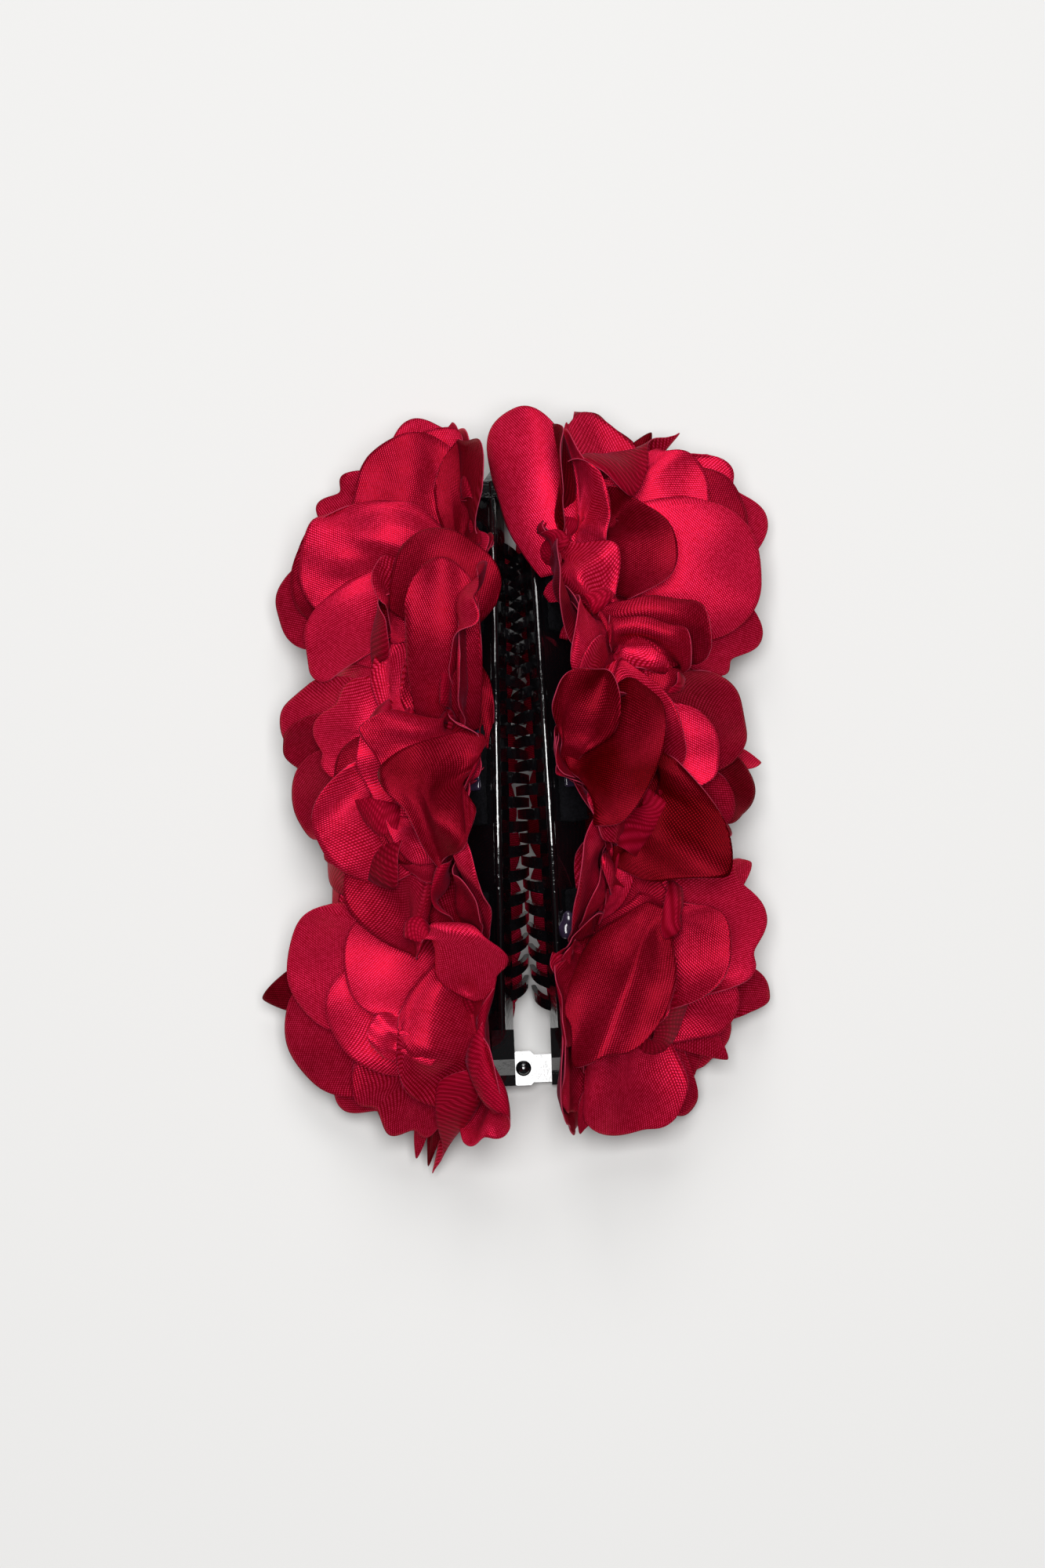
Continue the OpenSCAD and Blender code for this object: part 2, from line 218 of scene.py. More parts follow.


# ---------------------------------------------------------------- arrangement

# Petals listed one by one: tip from the flower's seat, width, and what differs from the usual.
# Each list runs from the lowest petal to the topmost.
# Their tone, low for a shaded petal and high for a lit one, paints light and shade into each petal's
# colour.
HEROES = {
    ("left", "latch"): [
        ((-28, 16, -6), 22, dict(lobes=3, notch=0.1, tone_and_shade=0.5, bow=25)),
        ((-36, -5, -8), 20, dict(tone_and_shade=0.45, bow=30)),
        ((-10, 31, -4), 25, dict(lobes=2, notch=0.14, tone_and_shade=0.6, bow=20, cup=8)),
        ((-5, 28, 1), 20, dict(roll=10, tone_and_shade=0.4, bow=24)),
        ((-33, -1, -3), 21, dict(roll=-35, tone_and_shade=0.35, bow=20)),
        ((-18, 23, 4), 29, dict(tone_and_shade=0.35, bow=26, cup=-10, crease=-0.6, crease_u=0.3)),
        ((-31, 6, 0), 28, dict(tone_and_shade=0.6, cup=-22, bow=30, crease=0.9, crease_u=-0.45)),
        ((-30, -14, -2), 20, dict(tone_and_shade=0.7, cup=-20, bow=26)),
        ((2, 26, 6), 20, dict(roll=-50, right=50, tone_and_shade=0.2, bow=22)),
        ((-15, -28, 4), 16, dict(root=(-4, -3, 6), cup=-35, tone_and_shade=0.6, bow=40)),
        ((-7, -31, 5), 15, dict(root=(-3, -4, 8), cup=-40, tone_and_shade=0.35, bow=40)),
        ((-19, -8, 9), 18, dict(root=(-5, -1, 5), roll=-20, cup=20, tone_and_shade=0.45)),
        ((3, -22, 6), 16, dict(root=(-3, -6, 5), tone_and_shade=0.15, cup=-20, bow=30)),
        ((3, -33.5, 7), 11, dict(root=(-5, -14, 8), point=0.8, tone_and_shade=0.15, cup=-20, bow=34, neck=0.5,
                                   edge=NO_EDGE)),
        ((1, 4.5, 15), 21, dict(root=(-10, -11, 12), cup=-22, tone_and_shade=0.25, bow=40, neck=0.55, noise=0.2,
                              edge=NO_EDGE)),
        ((-5, 0.5, 21), 14.5, dict(root=(-4.5, -31, 10), cup=-30, tone_and_shade=0.34, bow=62, neck=0.8, noise=0.2,
                                    edge=NO_EDGE)),
    ],
    ("left", "middle"): [
        ((-35, 11, -12), 16, dict(tone_and_shade=0.6, bow=30)),
        ((-35, 5, -10), 14, dict(tone_and_shade=0.3, bow=30, roll=-20)),
        ((-33, -7, -12), 20, dict(tone_and_shade=0.45, bow=30)),
        ((-16, -32, -3), 30, dict(tone_and_shade=0.4, bow=34, cup=-12)),
        ((-29, 8, -3), 20, dict(tone_and_shade=0.75, bow=32, lobes=2, notch=0.1)),
        ((-25, -3, 0), 18, dict(tone_and_shade=0.25, roll=25, bow=28)),
        ((-28, -16, 0), 22, dict(tone_and_shade=0.6, bow=36)),
        ((-5, -23, 2), 28, dict(tone_and_shade=0.3, cup=45, curl=55, bow=20)),
        ((-21, -15, 5), 18, dict(tone_and_shade=0.2, roll=20, bow=30)),
        ((-21, -2, 6), 18, dict(tone_and_shade=0.7, bow=36, roll=-15)),
        ((-13, -19, 8), 18, dict(tone_and_shade=0.6, cup=-20, bow=30)),
        ((-20, 5, 16), 17, dict(root=(1, 0, 9), point=0.7, tone_and_shade=0.4, bow=24, ruffle=0.2)),
        ((-5, -20, 16), 27, dict(root=(1, 4, 10), point=0.55, tone_and_shade=0.2, bow=26, cup=-12, ruffle=0.2,
                                 noise=0.2)),
    ],
    ("left", "hinge"): [
        ((-9, -40, -14), 6, dict(roll=75, tone_and_shade=0.6, point=0.5)),
        ((-10, -39, -13), 9, dict(point=0.9, tone_and_shade=0.15)),
        ((-13, -37, -12), 9, dict(roll=50, point=0.8, tone_and_shade=0.5)),
        ((-40, -6, -11), 15, dict(point=0.5, tone_and_shade=0.15, bow=24)),
        ((-26, -27, -11), 22, dict(tone_and_shade=0.5, bow=28, lobes=2, notch=0.1)),
        ((-34, -18, -10), 26, dict(tone_and_shade=0.5, bow=28)),
        ((0, -35, -10), 20, dict(tone_and_shade=0.5, bow=26, lobes=2, notch=0.1)),
        ((9, -32, -8), 21, dict(lobes=2, notch=0.12, crease=1.0, tone_and_shade=0.4, bow=26, point=0.2)),
        ((-17, -32, -8), 24, dict(crease=1.1, lobes=3, notch=0.08, tone_and_shade=0.5, bow=24)),
        ((-35, -1, -5), 26, dict(tone_and_shade=0.8, bow=34, cup=-12)),
        ((-26, -15, 0), 22, dict(tone_and_shade=0.7, bow=34, cup=-10)),
        ((-24, -2, 4), 22, dict(tone_and_shade=0.6, bow=34)),
        ((-19, -12, 10), 9, dict(root=(-8, -20, 8), tone_and_shade=0.8, cup=-20)),
        ((8, -25, 2), 20, dict(roll=-30, tone_and_shade=0.45, bow=24, cup=10)),
        ((-3, -31, 3), 28, dict(root=(-1, 2, 10), tone_and_shade=0.45, bow=24, cup=-25, noise=0.25, ruffle=0.3)),
        ((-3, 4, 17), 18, dict(root=(1, -9, 8), curl=-110, tone_and_shade=0.85, bow=10, cup=-25, roll=-15)),
    ],
    ("right", "latch"): [
        ((17, 27, -6), 8, dict(point=0.5, tone_and_shade=0.15)),
        ((22, 27, -7), 6, dict(roll=70, tone_and_shade=0.5, point=0.6)),
        ((27, 22, -8), 10, dict(roll=60, tone_and_shade=0.4)),
        ((37, 10, -9), 30, dict(lobes=2, notch=0.15, tone_and_shade=0.85, bow=22, roll=15)),
        ((35, -13, -7), 24, dict(lobes=2, notch=0.12, tone_and_shade=0.6, bow=28)),
        ((32, 13, -4), 22, dict(tone_and_shade=0.35, bow=26)),
        ((4, 31, -2), 27, dict(lobes=2, notch=0.12, tone_and_shade=0.55, bow=22, cup=10)),
        ((25, 20, 0), 28, dict(lobes=2, notch=0.08, crease=0.8, crease_u=0.2, tone_and_shade=0.65, bow=24, cup=8)),
        ((35, -1, -2), 28, dict(tone_and_shade=0.8, bow=32, cup=-8)),
        ((19, 8, 8), 24, dict(tone_and_shade=0.2, cup=30, bow=26)),
        ((-2, 26, 9), 22, dict(tone_and_shade=0.65, roll=-30, bow=24, cup=15, weave=45)),
        ((0, 26, 12), 12, dict(tone_and_shade=0.1, roll=-70, bow=20)),
        ((-1, -4, 14), 13, dict(root=(0, -13, 4), tone_and_shade=0.7, cup=30, roll=-30)),
        ((10, 3, 14), 16, dict(root=(-3, -6, 9), cup=-40, tone_and_shade=0.85, bow=40, noise=0.9)),
        ((16, -7, 14), 26, dict(root=(14, -19, 6), cup=45, curl=-70, tone_and_shade=0.3)),
        ((15, -12, 15), 20, dict(root=(14, -20, 8), cup=50, curl=-70, tone_and_shade=0.35)),
        ((14, -26, 11), 14, dict(root=(13, -14, 10), tone_and_shade=0.9, bow=40, cup=-20)),
        ((-7.5, 31, 2), 17, dict(root=(-1, -1, 5), cup=-38, tone_and_shade=0.85, bow=34, roll=-14, ruffle=0.3,
                                 neck=0.35, edge=NO_EDGE)),
    ],
    ("right", "middle"): [
        ((33, -1, -14), 8, dict(tone_and_shade=0.75, point=0.4)),
        ((31, -9, -10), 18, dict(tone_and_shade=0.2, bow=30)),
        ((30, 9, -8), 22, dict(tone_and_shade=0.35, bow=30)),
        ((1, -29, -4), 16, dict(tone_and_shade=0.9, cup=-40, bow=34, ruffle=0.2)),
        ((27, -14, -5), 18, dict(tone_and_shade=0.3, bow=30)),
        ((25, -1, 2), 20, dict(tone_and_shade=0.9, bow=34)),
        ((17, 9, 9), 22, dict(tone_and_shade=0.45, bow=30)),
        ((26, -24, 4), 24, dict(point=0.5, tone_and_shade=0.08, bow=26, cup=-12, noise=0.25)),
        ((14, -4, 15), 28, dict(root=(-1, 2, 8), tone_and_shade=0.1, bow=30, cup=-10, roll=-10)),
        ((4, 14, 15), 14, dict(root=(-1, -2, 8), tone_and_shade=0.15, bow=26, cup=20)),
    ],
    ("right", "hinge"): [
        ((17, -30, -13), 12, dict(tone_and_shade=0.5)),
        ((12, -29, -12), 7, dict(point=0.9, tone_and_shade=0.15)),
        ((32, -9, -12), 11, dict(tone_and_shade=0.5)),
        ((30, 16, -8), 12, dict(tone_and_shade=0.6, point=0.4)),
        ((24, -21, -9), 14, dict(point=0.6, tone_and_shade=0.5)),
        ((25, -14, -5), 20, dict(tone_and_shade=0.6, bow=30)),
        ((32, 6, -4), 28, dict(lobes=2, notch=0.12, tone_and_shade=0.75, bow=28)),
        ((18, 13, 2), 34, dict(tone_and_shade=0.35, bow=40, cup=-18)),
        ((-5, -32, -8), 18, dict(tone_and_shade=0.5, cup=25, bow=24, lobes=2, notch=0.08)),
        ((3, -34, -7), 27, dict(root=(8, -8, 4), tone_and_shade=0.6, bow=26, cup=-10, lobes=2, notch=0.05)),
        ((25, 0, 8), 24, dict(tone_and_shade=0.4, bow=34, cup=10)),
        ((14, -15, 8), 16, dict(tone_and_shade=0.8, cup=-30, bow=36)),
        ((-5, -20, 8), 16, dict(root=(-1, 2, 4), tone_and_shade=0.3, roll=-30, cup=20)),
        ((-3, -22, 11), 21, dict(root=(14, 7, 9), tone_and_shade=0.22, bow=26, cup=-20, point=0.3, roll=14, neck=0.2,
                                 crease=1.0, crease_u=0.35, lobes=2, notch=0.08)),
    ],
}
# How the flowers of a comb lie over each other, lowest first.
STACK = {"left": ("hinge", "middle", "latch"), "right": ("hinge", "latch", "middle")}


def hero(side, place, rank, tip, width, root=(0, 0, 0), **shape):
    """A listed petal. Its rank is 0 for the flower's lowest and 1 for its topmost."""
    seat, _ = seat_of(side, place)
    start = seat + np.asarray(root, float)
    chord = seat + np.asarray(tip, float) * (SPREAD[side], 1, 1) - start
    reach = np.linalg.norm(chord)
    bow = math.radians(abs(shape.get("bow", 20)) + 0.5 * abs(shape.get("curl", 0)))
    shape.setdefault("weave", rng.uniform(-50, 50))
    shape.setdefault("neck", 0.24 if root[2] < 3 else 0.12)
    shape.setdefault("edge", EDGES[side, place] + LOWEST_BACK * (1 - rank))
    return Petal(start, chord, (0, 0, 1), reach * (1 + bow * bow / 24), width, **shape)


def flower_frame(axis):
    """Outward and latchward directions in the plane across a flower's axis."""
    sign = 1 if axis[0] > 0 else -1
    latch = unit(np.cross(axis, (sign, 0, 0)) * sign)
    latch = latch if latch[1] > 0 else -latch
    outward = unit(np.cross(latch, axis))
    return (outward if outward[0] * sign > 0 else -outward), latch


# Centre of the combs' arch, [Y, Z], in millimetres: 4.1 along and 70.5 under the surface.
CAD_ARCH = (4.1, -70.5)
# Filling petals keep this many degrees clear of the direction of the gap.
GAP_SECTOR = 38
# Half of the arch, in degrees, that a flower's filling may cover, and how far a petal may be raised to fit.
FILL_ARCH = 15
MOST_RAISED = 24
RAISE_STEP = 4


def crowded(tip, side, place):
    """True where a petal's tip would be over the gap, under the floor or deep in the next flower."""
    angle = math.degrees(math.atan2(tip[1] - CAD_ARCH[0], tip[2] - CAD_ARCH[1]))
    middle = PLACES[place]
    low = -90 if place == "hinge" else middle - FILL_ARCH
    high = 90 if place == "latch" else middle + FILL_ARCH
    edge = EDGES[side, place] + FILL_BACK[0] + 2
    return tip[0] * SIDES[side] < edge or tip[2] < 1.0 or not low < angle < high


def filler(side, place, azimuth, lean, length, width, **shape):
    """A petal of the flower's own ring, if it has room: azimuth 0 is outwards and 90 towards the latch."""
    seat, axis = seat_of(side, place)
    outward, latch = flower_frame(axis)
    a = math.radians(azimuth)
    level = math.cos(a) * outward + math.sin(a) * latch
    for raised in range(0, MOST_RAISED, RAISE_STEP):
        slope = math.radians(lean - raised)
        direction = math.sin(slope) * level + math.cos(slope) * axis
        root = seat + level * 1.6 + axis * (0.2 + 2.2 * (1 - lean / 90))
        if not crowded(root + direction * length * 0.9, side, place):
            edge = EDGES[side, place] + rng.uniform(*FILL_BACK)
            return [Petal(root, direction, axis, length, width, edge=edge, **shape)]
    return []


def loose_shape():
    """The small differences of hand-cut and steamed cloth."""
    return dict(
        roll=rng.uniform(-14, 14), bow=rng.uniform(5, 40), cup=rng.uniform(0, 28),
        sweep=rng.uniform(-18, 18), twist=rng.uniform(-16, 16), curl=rng.uniform(-35, 10),
        lobes=int(rng.integers(1, 4)), lobe_shift=rng.uniform(-0.4, 0.4), notch=rng.uniform(0.0, 0.1),
        ruffle=rng.uniform(0.3, 1.0), waves=rng.uniform(0.8, 2.2), noise=rng.uniform(0.15, 0.35),
        crease=rng.choice([0, 0, 0.7, -0.7]), crease_u=rng.uniform(-0.5, 0.5),
        tone_and_shade=rng.uniform(0.25, 0.8), weave=rng.uniform(-50, 50))


def ring(side, place, count, start, lean, length, width, spread=6):
    """Seeded petals of one ring round the flower, left out towards the gap."""
    made = []
    for i in range(count):
        azimuth = start + 360 * i / count + rng.uniform(-spread, spread) * 1.5
        shape = loose_shape()
        sizes = rng.uniform(0.9, 1.06), rng.uniform(0.9, 1.12), rng.uniform(-spread, spread)
        if abs((azimuth % 360) - 180) < GAP_SECTOR:
            continue
        made += filler(side, place, azimuth, lean + sizes[2], length * sizes[0], width * sizes[1], **shape)
    return made


# Petals that hang over the comb's band at the side of the gap: [azimuth, lean, length, width].
APRON = [(150, 72, 12.0, 15), (212, 76, 12.5, 16), (182, 58, 13.0, 15)]
# How high on the flower they start.
APRON_H = 2.2


def apron(side, place):
    """Short petals bent down over the felt, which close the flower towards the gap."""
    seat, axis = seat_of(side, place)
    outward, latch = flower_frame(axis)
    made = []
    for azimuth, lean, length, width in APRON:
        a = math.radians(azimuth + rng.uniform(-8, 8))
        level = math.cos(a) * outward + math.sin(a) * latch
        slope = math.radians(lean)
        direction = math.sin(slope) * level + math.cos(slope) * axis
        made.append(Petal(
            seat + axis * APRON_H - outward * 0.5, direction, axis, length, width,
            bow=rng.uniform(70, 95), cup=rng.uniform(-40, -15), roll=rng.uniform(-10, 10),
            lobes=int(rng.integers(1, 3)), notch=0.06, tone_and_shade=rng.uniform(0.15, 0.6), noise=0.2,
            weave=rng.uniform(-50, 50), edge=EDGES[side, place] + 0.3))
    return made


# Petals pressed in under the comb: [root Y, tip Y, tip |X|, tip Z, width], with Y from the seat.
UNDER = {
    "latch": [
        (-14, -15, 1.0, 2.2, 14), (-7, -6, 0.8, 3.4, 15), (0, 2, 1.4, 2.4, 15), (5, 8.5, 0.8, 4.6, 13)],
    "middle": [
        (13, 13, 1.2, 2.0, 15), (5, 5, 0.8, 3.4, 15), (-3, -4, 1.4, 2.2, 15), (-11, -12, 0.9, 3.2, 15)],
    "hinge": [
        (13, 13, 0.9, 2.0, 14), (6, 6, 1.4, 1.6, 14), (-1, -1, 1.6, 2.2, 13), (-5, -7, 3.4, 1.4, 11)],
}
# Where they start, from the flower's seat: outwards and down.
UNDER_ROOT = (5.5, -6.5)
# The left comb's petals stand this much nearer to the hinge.
UNDER_STAGGER = 3.0


def under(side, place):
    """Petals pressed in under the comb, which show dark red between the teeth."""
    sign = SIDES[side]
    seat, _ = seat_of(side, place)
    made = []
    for root_y, tip_y, tip_x, tip_z, width in UNDER[place]:
        shift = UNDER_STAGGER if sign < 0 else 0.0
        root = seat + np.array([sign * UNDER_ROOT[0], root_y - shift, UNDER_ROOT[1]])
        tip = np.array([sign * tip_x, seat[1] + tip_y - shift, tip_z])
        chord = tip - root
        petal = Petal(root, chord, (0, 0, 1), np.linalg.norm(chord) * 1.03, width, bow=-26,
                      cup=rng.uniform(-20, 5), roll=rng.uniform(-9, 9), tone_and_shade=rng.uniform(0.3, 0.7),
                      neck=0.5, noise=0.15, ruffle=0.2, weave=rng.uniform(-50, 50))
        petal.points = limits(petal.points, side, UNDER_EDGE)
        made.append(petal)
    return made


# Length of the outermost filling petals, and the rings: [petals, first azimuth, lean, share of that
# length, width].
PETAL_L = {"latch": 31.0, "middle": 34.0, "hinge": 35.0}
RINGS = [(9, 10, 92, 1.0, 24), (7, 33, 74, 0.93, 24), (4, 0, 56, 0.62, 19)]


def flower(side, place):
    """The flower's petals: those under the comb, the filling, and the listed ones."""
    filling = []
    for count, start, lean, share, width in RINGS:
        filling += ring(side, place, count, start, lean, PETAL_L[place] * share, width)
    table = HEROES[side, place]
    placed = apron(side, place)
    placed += [hero(side, place, i / (len(table) - 1), tip, width, **shape)
               for i, (tip, width, shape) in enumerate(table)]
    return under(side, place), filling, placed


def soft_over(value, scale):
    """value where it is well above nothing, easing to nothing below."""
    return scale * np.logaddexp(0, value / scale)


# Petals stay this far from the floor and from the middle plane, and ease to it over this length.
CLEAR = 0.3
EASING = 0.7
# Place of the rivet in X and Y. Beyond it the right petals swing towards the left ones as the clip
# opens, so both stay back by an angle about the rivet, and the two angles add up to the opening.
RIVET = [round((a + b) / 2 / MM, 2) for a, b in zip(*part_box("hinge_pin"))]
TAIL_ANGLE = {"left": 6.0, "right": 28.0}
# From beyond the rivet to before it, in Y: the flowers' own edges fade out over this stretch.
PAST_RIVET = (RIVET[1] - 9, RIVET[1] + 4)


def tail_limit(y, side):
    """The nearest that petals may come to the middle plane beyond the rivet."""
    level = SIDES[side] * RIVET[0] * (1 - smooth(RIVET[1], PAST_RIVET[1], y))
    return level + math.tan(math.radians(TAIL_ANGLE[side])) * np.maximum(RIVET[1] - y, 0)


def limits(points, side, edge):
    """Keeps points off the floor and out of the gap between the combs, softly."""
    sign = SIDES[side]
    p = points.copy()
    p[..., 2] = CLEAR + soft_over(p[..., 2] - CLEAR, EASING)
    near = edge * smooth(*PAST_RIVET, p[..., 1]) + CLEAR
    tail = tail_limit(p[..., 1], side)
    near = np.where(p[..., 1] < PAST_RIVET[1], np.maximum(near, tail), near)
    p[..., 0] = sign * (near + soft_over(p[..., 0] * sign - near, EASING))
    return p


def blur(field, times=1):
    """Averages each point of a grid of vectors with its neighbours."""
    for _ in range(times):
        padded = np.pad(field, ((1, 1), (1, 1), (0, 0)), mode="edge")
        rows = (padded[:-2] + 2 * padded[1:-1] + padded[2:]) / 4
        field = (rows[:, :-2] + 2 * rows[:, 1:-1] + rows[:, 2:]) / 4
    return field


# Distance that crossing petals are pushed apart to, how deep a crossing is mended, and how far
# to the side of a point its neighbour may lie.
GAP = 0.7
REACH = 3.6
BESIDE = 2.6
# Rounds of pushing, and rounds between new searches for petals that are near each other.
ROUNDS = 22
SEARCH_EVERY = 4
# Room round each petal's box in that search.
NEARBY = 1.5
# Share of a petal's length, from the root, over which it starts to move.
HELD = (0.02, 0.4)


def near_pairs(low, high):
    """Pairs of petals whose boxes come near each other, lower petal first."""
    pairs = []
    for i in range(len(low)):
        over = np.all((low[i + 1:] < high[i]) & (high[i + 1:] > low[i]), axis=1)
        pairs += [(i, j) for j in np.nonzero(over)[0] + i + 1]
    return pairs


def nearest(a, b):
    """For each point of a, the index of the nearest point of b, and its squared distance."""
    squared = (a ** 2).sum(1)[:, None] + (b ** 2).sum(1)[None] - 2 * a @ b.T
    index = squared.argmin(1)
    return index, squared[np.arange(len(a)), index]


def move_clear(petal, side):
    """How far a petal moves outwards as a whole to stay out of the gap."""
    if petal.shape["edge"] == NO_EDGE:
        return np.zeros(3)
    over = limits(petal.points, side, petal.shape["edge"])[..., 0] - petal.points[..., 0]
    return np.array([SIDES[side] * np.quantile(np.abs(over), 0.9), 0, 0])


def settle(petals, side):
    """Pushes petals that cross each other apart, with each later petal above the earlier ones."""
    rounds = ROUNDS
    base = [p.points[::2, ::2] for p in petals]
    ease = smooth(*HELD, np.linspace(0, 1, COARSE))[:, None, None]
    shift = [move_clear(p, side) * ease for p in petals]
    pairs = []
    for turn in range(rounds):
        now = [b + s for b, s in zip(base, shift)]
        normals = [Petal.grid_normals(p).reshape(-1, 3) for p in now]
        flat = [p.reshape(-1, 3) for p in now]
        search = turn % SEARCH_EVERY == 0
        reach = REACH * (1 + 1.2 * (1 - turn / rounds))
        if search:
            low = np.array([p.min(0) for p in flat]) - NEARBY
            high = np.array([p.max(0) for p in flat]) + NEARBY
            pairs = near_pairs(low, high)
        push = [np.zeros_like(p) for p in flat]
        count = [np.ones(len(p)) for p in flat]
        kept = []
        for i, j in pairs:
            near, squared = nearest(flat[j], flat[i])
            if search and squared.min() > reach ** 2:
                continue
            kept.append((i, j))
            n = normals[i][near]
            signed = ((flat[j] - flat[i][near]) * n).sum(1)
            hit = (signed < GAP) & (signed > -reach) & (squared - signed ** 2 < BESIDE ** 2)
            if not hit.any():
                continue
            move = ((GAP - signed) * hit)[:, None] * n * 0.5
            push[j] += move
            count[j] += hit
            np.add.at(push[i], near, -move)
            np.add.at(count[i], near, hit)
        pairs = kept
        for k, petal in enumerate(petals):
            if petal.shape["edge"] == NO_EDGE:
                continue
            field = (push[k] / np.maximum(count[k] - 1, 1)[:, None]).reshape(COARSE, COARSE, 3)
            moved = base[k] + shift[k] + 0.8 * blur(field, 2) * ease
            kept_out = limits(moved, side, petal.shape["edge"]) - moved
            moved += blur(kept_out, 3) * ease
            shift[k] = moved - base[k]
    for petal, b, s in zip(petals, base, shift):
        if petal.shape["edge"] != NO_EDGE:
            petal.points += finer(limits(b + s, side, petal.shape["edge"]) - b)


def finer(field):
    """A field on the coarse grid, brought to the petal's own grid."""
    fine = np.linspace(0, COARSE - 1, ROWS)
    steps = range(COARSE)
    rows = np.stack([[np.interp(fine, steps, field[:, c, a]) for a in range(3)] for c in steps])
    return np.stack([[np.interp(fine, steps, rows[:, a, r]) for a in range(3)]
                     for r in range(ROWS)]).transpose(0, 2, 1)


# ---------------------------------------------------------------- materials

def node_material(name):
    material = bpy.data.materials.new(name)
    material.use_nodes = True
    tree = material.node_tree
    return material, tree, tree.nodes["Principled BSDF"]


def add(tree, kind, **values):
    node = tree.nodes.new(kind)
    for key, value in values.items():
        if key.startswith("in_"):
            socket = node.inputs[int(key[3:])] if key[3:].isdigit() else node.inputs[key[3:]]
            socket.default_value = value
        else:
            setattr(node, key, value)
    return node


def maths(tree, operation, a, b=None):
    node = tree.nodes.new("ShaderNodeMath")
    node.operation = operation
    for i, value in enumerate((a, b)):
        if value is None:
            continue
        if isinstance(value, (int, float)):
            node.inputs[i].default_value = value
        else:
            tree.links.new(value, node.inputs[i])
    return node.outputs[0]


def mix_colour(tree, factor, a, b):
    node = tree.nodes.new("ShaderNodeMix")
    node.data_type = "RGBA"
    colour_a, colour_b = [s for s in node.inputs if s.type == "RGBA"]
    factor_socket = node.inputs[0]
    for socket, value in ((factor_socket, factor), (colour_a, a), (colour_b, b)):
        if isinstance(value, (tuple, float, int)):
            socket.default_value = value
        else:
            tree.links.new(value, socket)
    return [s for s in node.outputs if s.type == "RGBA"][0]


def link(tree, source, target):
    tree.links.new(source, target)
    return source


def noise_of(tree, source, scale, detail=2.0):
    node = add(tree, "ShaderNodeTexNoise", in_Scale=scale, in_Detail=detail)
    link(tree, source, node.inputs["Vector"])
    return node.outputs[0]


def bumped(tree, shader, height, strength, distance):
    bump = add(tree, "ShaderNodeBump", in_Strength=strength, in_Distance=distance)
    link(tree, height, bump.inputs["Height"])
    link(tree, bump.outputs[0], shader.inputs["Normal"])


# Satin colours, linear, with painted light and shade in them: the ground of a shaded (dull) and of a lit
# (bright) petal, then the threads that float over it, painted with sheen.
SATIN = {
    "front": (
        (0.045, 0.0, 0.0004, 1), (0.35, 0.0003, 0.007, 1),
        (0.16, 0.0002, 0.0025, 1), (1.0, 0.03, 0.13, 1)),
    "back": (
        (0.045, 0.0, 0.001, 1), (0.22, 0.0004, 0.009, 1),
        (0.12, 0.0005, 0.005, 1), (0.50, 0.006, 0.04, 1)),
}
# Paler pink mixed into the petals' cut edges: a painted highlight on the rims.
CUT_EDGE_HIGHLIGHT = (0.62, 0.06, 0.13, 1)
# In metres.
WEAVE_PITCH = 0.0004


def weave_height(tree, flat):
    """Satin weave: ridges of thread a pitch apart, broken into floats along their length."""
    split = tree.nodes.new("ShaderNodeSeparateXYZ")
    link(tree, flat, split.inputs[0])
    turn = 2 * math.pi / WEAVE_PITCH
    x, y = split.outputs[0], split.outputs[1]
    wobble = maths(tree, "MULTIPLY", noise_of(tree, flat, 260.0), 1.6)
    ridge = maths(tree, "SINE", maths(tree, "ADD", maths(tree, "MULTIPLY", x, turn), wobble))
    step = maths(tree, "ADD", maths(tree, "MULTIPLY", y, turn), maths(tree, "MULTIPLY", x, turn / 2))
    floats = maths(tree, "SINE", step)
    both = maths(tree, "MULTIPLY", maths(tree, "ADD", ridge, 1.0), maths(tree, "ADD", floats, 1.6))
    return maths(tree, "MULTIPLY", both, 0.192)


